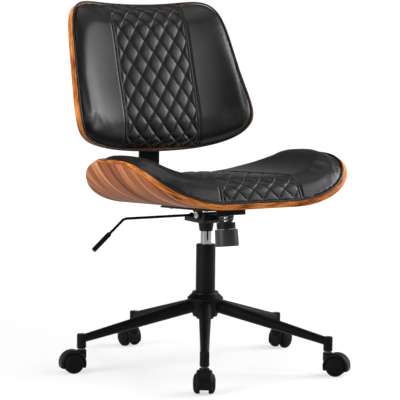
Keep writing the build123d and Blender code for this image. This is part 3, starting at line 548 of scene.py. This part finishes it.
def lay_out(obj, sheet):
    """Stores every point's place on the flat blank, for patterns that follow the sheet."""
    places = obj.data.attributes.new("blank", "FLOAT_VECTOR", "POINT")
    for vertex, place in zip(obj.data.vertices, places.data):
        place.vector = sheet.flattened(vertex.co)


ply = 0.014
edge_round = 0.0011
layer_pitch = 0.0031


def pressed_shell(name, sheet):
    rings = 30
    obj = ringed_disc(name, 192, [1 - k / rings for k in range(rings)])
    for vertex in obj.data.vertices:
        vertex.co = sheet.bent(*sheet.spread(vertex.co.x, vertex.co.y), 0)
    obj.data.materials.append(veneer.material)
    obj.data.materials.append(ply_edge.material)
    apply_modifier(obj, "SOLIDIFY", thickness=ply, offset=-1, material_offset_rim=1)
    round_corners(obj, edge_round, 3)
    bpy.ops.object.select_all(action="DESELECT")
    obj.select_set(True)
    bpy.ops.object.shade_smooth()
    lay_out(obj, sheet)
    return obj


veneer = Finish("walnut_veneer", Specular_IOR_Level=0.05)
sweep = veneer.noise(veneer.place("blank", (2.2, 12.0, 0.0)), 1.0, 2.0, 0.5)
bands = veneer.noise(veneer.place("blank", (2.2, 34.0, 0.0)), 1.0, 3.0, 0.5, 0.4)
streaks = veneer.noise(veneer.place("blank", (6.0, 260.0, 0.0)), 1.0, 3.0, 0.6)
pores = veneer.noise(veneer.place("blank", (60.0, 1900.0, 0.0)), 1.0, 1.0, 0.5)
figure = bands * 1.5 + sweep * 0.55 + streaks * 0.5 - 0.75
veneer.set(Base_Color=veneer.ramp(figure, [
    (0.24, (0.090, 0.024, 0.008)),
    (0.40, (0.225, 0.068, 0.026)),
    (0.52, (0.375, 0.126, 0.051)),
    (0.64, (0.510, 0.198, 0.086)),
    (0.80, (0.680, 0.340, 0.180)),
]))
veneer.set(Roughness=streaks * 0.2 + 0.42)
veneer.bump(pores.step(0.3, 0.55) + streaks * 0.6, 0.00006, 0.5)

ply_edge = Finish("ply_edge", Specular_IOR_Level=0.04)
edge_spot = ply_edge.place("blank")
edge_parts = ply_edge.tree.nodes.new("ShaderNodeSeparateXYZ")
ply_edge.tree.links.new(edge_spot.link, edge_parts.inputs[0])
edge_depth = Socket(ply_edge, edge_parts.outputs["Z"])
layer_wave = (edge_depth * (2 * pi / layer_pitch)).math("SINE") * 0.5 + 0.5
edge_streak = ply_edge.noise(ply_edge.place("blank", (26.0, 26.0, 900.0)), 1.0, 3.0, 0.6)
edge_cloud = ply_edge.noise(ply_edge.place("blank", (18.0, 18.0, 60.0)), 1.0, 2.0)
edge_tone = layer_wave * 0.20 + edge_streak * 1.7 + edge_cloud * 1.3 - 0.98
ply_edge.set(Base_Color=ply_edge.ramp(edge_tone, [
    (0.34, (0.095, 0.020, 0.004)),
    (0.50, (0.300, 0.076, 0.012)),
    (0.64, (0.530, 0.155, 0.026)),
    (0.88, (0.680, 0.255, 0.060)),
]))
ply_edge.set(Roughness=edge_streak * 0.2 + 0.4)
ply_edge.bump(edge_tone, 0.00012, 0.5)

seat_sheet = BentSheet(
    Matrix.Translation((0, 0, 0.4335)) @ Matrix.Rotation(radians(-3.2), 4, "X"),
    bends=(0.095, 0.298, 24, 0.169),
    outline=(-0.277, 0.230, -0.011, 0.3425, 0.3425, 3.5, 2.0, 0, 0),
)
seat_shell = pressed_shell("seat_ply", seat_sheet)
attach(seat_shell, "seat")
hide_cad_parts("seat_shell")

# Back shell: the same ply, pressed into a shallow trough and trimmed to a rounded shield.
# It is bolted to the back bar through tee nuts under the cushion.
back_sheet = BentSheet(
    Matrix.Translation((0, 0.244, 0.539)) @ Matrix.Rotation(radians(90 - 17.4), 4, "X"),
    bends=(0.080, 0.315, 20, 0.147),
    outline=(0, 0.396, 0.194, 0.296, 0.2265, 6.4, 5.8, 0.034, 0.021),
)
back_shell = pressed_shell("back_ply", back_sheet)
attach(back_shell, "seat")
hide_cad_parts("back_shell")


# Seat cushion: foam under black artificial leather, with two plain side panels and a diamond-quilted middle.
# It is blown up as a sewn pad is by its filling, then drawn in along the quilting and the twin-needle seams.
diamond_wide = 0.045
diamond_tall = 0.064
panel_half = 0.114
seam_depth = 0.0032
seam_width = 0.0026
twin_seam = 0.0042
stitch_off = 0.0035
quilt_fade = 0.008
least_lift = 0.0005


def arch(share):
    """Puffed profile across a pad: 0 at its stitches, 1 in its middle."""
    share = min(max(share, 0.0), 1.0)
    return sqrt(1 - (1 - share) ** 2)


def quilting(u, station, depth):
    """How far the cover is drawn in at a place on the blank."""
    off_panel = abs(u) - panel_half
    seams = sum(exp(-((off_panel - hand * twin_seam) / seam_width) ** 2) for hand in (-1, 1))
    drawn = seam_depth * min(seams, 1.0)
    if off_panel < 0:
        rise, fall = u / diamond_wide + station / diamond_tall, u / diamond_wide - station / diamond_tall
        shares = [abs((line + 0.5) % 1 - 0.5) * 2 for line in (rise, fall)]
        puff = (arch(shares[0]) * arch(shares[1])) ** 0.7
        fade = min(1.0, -off_panel / quilt_fade)
        drawn = max(drawn, depth * (1 - puff) * fade)
    return drawn


def cover_place(sheet, crown, point):
    """Place of a point on the sewn cover: across it, along it over the rounded ends, and above the ply."""
    u, station, lift = sheet.flattened(point)
    middle, reach = (sheet.low + sheet.high) / 2, (sheet.high - sheet.low) / 2
    share = (station - middle) / reach
    near_end = min(max((abs(share) - 0.75) / 0.2, 0.0), 1.0)
    drop = max(crown - lift, 0.0) * near_end
    return u, station + drop * (1 if share > 0 else -1), lift


def end_fullness(sheet, station):
    """1 along the pad, falling to 0 at its front and rear ends."""
    middle, reach = (sheet.low + sheet.high) / 2, (sheet.high - sheet.low) / 2
    return sqrt(max(0.0, 1 - min(abs(station - middle) / reach, 1.0) ** 8))


def sewn_cushion(name, sheet, crown, edge, margin, swell, quilt):
    """Closed pad on a sheet: shaped, blown up by cloth simulation, then quilted."""
    sides = 160
    radii = [1 - 0.08 * (k / 12) ** 1.5 for k in range(12)] + [0.91 - 0.07 * k for k in range(13)]
    obj = ringed_disc(name, sides, radii)
    bpy.ops.object.mode_set(mode="EDIT")
    bpy.ops.mesh.select_all(action="SELECT")
    bpy.ops.mesh.extrude_region_move(TRANSFORM_OT_translate={"value": (0, 0, 1)})
    bpy.ops.mesh.select_all(action="SELECT")
    bpy.ops.mesh.normals_make_consistent(inside=False)
    bpy.ops.object.mode_set(mode="OBJECT")
    reach = (sheet.high - sheet.low) / 2
    shrink = 1 - margin / reach
    for vertex in obj.data.vertices:
        x, y, top = vertex.co
        rho = min(hypot(x, y), 1.0)
        u, station = sheet.spread(x * shrink, y * shrink)
        full = end_fullness(sheet, station)
        across_share = max(0.0, 1 - x * x)
        lift = edge + (crown - edge) * full * across_share ** 0.7
        lift *= sqrt(max(0.0, 1 - rho ** 22))
        vertex.co = sheet.bent(u, station, max(lift, 0.0012) if top > 0.5 else 0.0006)
    apply_modifier(obj, "REMESH", mode="VOXEL", voxel_size=0.005)
    apply_modifier(obj, "SMOOTH", factor=0.5, iterations=6)
    blow_up(obj, sheet, swell)
    apply_modifier(obj, "SMOOTH", factor=0.5, iterations=10)
    apply_modifier(obj, "SUBSURF", levels=1, render_levels=1)
    cover = [cover_place(sheet, crown, vertex.co) for vertex in obj.data.vertices]
    inward = [-vertex.normal for vertex in obj.data.vertices]
    places = obj.data.attributes.new("blank", "FLOAT_VECTOR", "POINT")
    for vertex, place, spot, dent in zip(obj.data.vertices, places.data, cover, inward):
        u, along_cover, lift = spot
        on_top = min(max((lift - 0.006) / 0.006, 0.0), 1.0)
        vertex.co += dent * (on_top * quilting(u, along_cover, quilt))
        place.vector = spot
    paint(leather, obj)
    bpy.ops.object.select_all(action="DESELECT")
    obj.select_set(True)
    bpy.ops.object.shade_smooth()
    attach(obj, "seat")
    return obj


def blow_up(obj, sheet, cap):
    """Cloth under pressure for a few frames, with the underside held and every point's movement capped."""
    before = [vertex.co.copy() for vertex in obj.data.vertices]
    held = obj.vertex_groups.new(name="held")
    held.add([i for i, co in enumerate(before) if sheet.flattened(co)[2] < 0.004], 1.0, "REPLACE")
    bpy.context.view_layer.objects.active = obj
    cloth = obj.modifiers.new("cloth", "CLOTH")
    cloth.settings.vertex_group_mass = "held"
    cloth.settings.use_pressure = True
    cloth.settings.uniform_pressure_force = 4.0
    cloth.settings.effector_weights.gravity = 0.0
    cloth.settings.quality = 4
    for step in range(1, 21):
        scene.frame_set(step)
    bpy.ops.object.modifier_apply(modifier="cloth")
    scene.frame_set(1)
    obj.vertex_groups.clear()
    for vertex, start in zip(obj.data.vertices, before):
        move = vertex.co - start
        if move.length > cap:
            vertex.co = start + move * (cap / move.length)
        u, station, lift = sheet.flattened(vertex.co)
        if lift < least_lift:
            vertex.co = sheet.bent(u, station, least_lift)


leather = Finish("black_leather", Specular_IOR_Level=0.27)
hide = leather.place("blank")
hide_parts = leather.tree.nodes.new("ShaderNodeSeparateXYZ")
leather.tree.links.new(hide.link, hide_parts.inputs[0])
hide_u = Socket(leather, hide_parts.outputs["X"])
hide_s = Socket(leather, hide_parts.outputs["Y"])
pebble = leather.add("ShaderNodeTexVoronoi", {"feature": "SMOOTH_F1"},
                     {"Vector": leather.place(), "Scale": 620.0, "Smoothness": 0.4}, out="Distance")
folds = leather.noise(leather.place(), 46.0, 4.0, 0.6, 0.8)
cloud = leather.noise(leather.place(), 9.0, 2.0)


def thread_line(distance, run, pitch=0.0062, width=0.0009):
    """Dashes of thread along a line: distance from it, and run along it."""
    dash = abs((run / pitch).math("FRACT") - 0.5).step(0.16, 0.24)
    return (1 - abs(distance).step(width * 0.6, width)) * (1 - dash)


off_seam = abs(hide_u) - panel_half
needle_marks = thread_line(off_seam - twin_seam - stitch_off, hide_s)
needle_marks = needle_marks + thread_line(off_seam + twin_seam + stitch_off, hide_s)
in_panel = 1 - off_seam.step(-0.003, 0.0)
lines = [hide_u / diamond_wide + hand * hide_s / diamond_tall for hand in (-1, 1)]
lattice = [abs((line + 0.5).math("FRACT") - 0.5) for line in lines]
stitched = (1 - lattice[0].math("MINIMUM", lattice[1]).step(0.0, 0.075)) * in_panel
twin_grooves = 1 - abs(abs(off_seam) - twin_seam).step(0.0, 0.0019)
groove = stitched.math("MAXIMUM", twin_grooves)
hide_colour = leather.mix(cloud, (0.0020, 0.0020, 0.0022), (0.0034, 0.0034, 0.0037))
# The base colour is painted darker along the quilting lines and the twin seam grooves: painted shade in the
# grooves.
hide_colour = leather.mix(groove, hide_colour, (0.0012, 0.0012, 0.0013))
leather.set(Base_Color=leather.mix(needle_marks.step(0.1, 0.9), hide_colour, (0.012, 0.012, 0.0125)))
leather.set(Roughness=cloud * 0.10 + folds * 0.10 + groove * 0.25 + 0.32)
leather.bump(pebble * 0.5 + folds * 1.2 + needle_marks * 1.2 - groove * 5.0, 0.00022, 0.6)

seat_cushion = sewn_cushion(
    "seat_pad", seat_sheet, crown=0.058, edge=0.046, margin=0.002, swell=0.006, quilt=0.0036)
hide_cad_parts("seat_cushion", "seat_quilt")


# Piping: a thin cord covered in the same leather.
# It is sewn into the seam where each cushion meets its ply.
def piping(name, sheet, margin, radius):
    sides = 320
    bpy.ops.object.select_all(action="DESELECT")
    bpy.ops.mesh.primitive_circle_add(vertices=sides, radius=1, fill_type="NOTHING")
    obj = bpy.context.object
    obj.name = name
    shrink = 1 - margin / ((sheet.high - sheet.low) / 2)
    for vertex in obj.data.vertices:
        u, station = sheet.spread(vertex.co.x * shrink, vertex.co.y * shrink)
        vertex.co = sheet.bent(u, station, radius)
    bpy.ops.object.convert(target="CURVE")
    obj = bpy.context.object
    obj.data.bevel_depth = radius
    obj.data.bevel_resolution = 3
    bpy.ops.object.convert(target="MESH")
    obj = bpy.context.object
    bpy.ops.object.shade_smooth()
    lay_out(obj, sheet)
    paint(leather, obj)
    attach(obj, "seat")


cord_r = 0.0026
piping("seat_piping", seat_sheet, margin=0.0015, radius=cord_r)

# Back cushion: thinner foam in the same leather, with its own piping.
# It is quilted and seamed to match the seat.
back_cushion = sewn_cushion(
    "back_pad", back_sheet, crown=0.040, edge=0.014, margin=-0.001, swell=0.005, quilt=0.0062)
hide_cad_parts("back_cushion", "back_quilt")
piping("back_piping", back_sheet, margin=-0.0015, radius=cord_r)
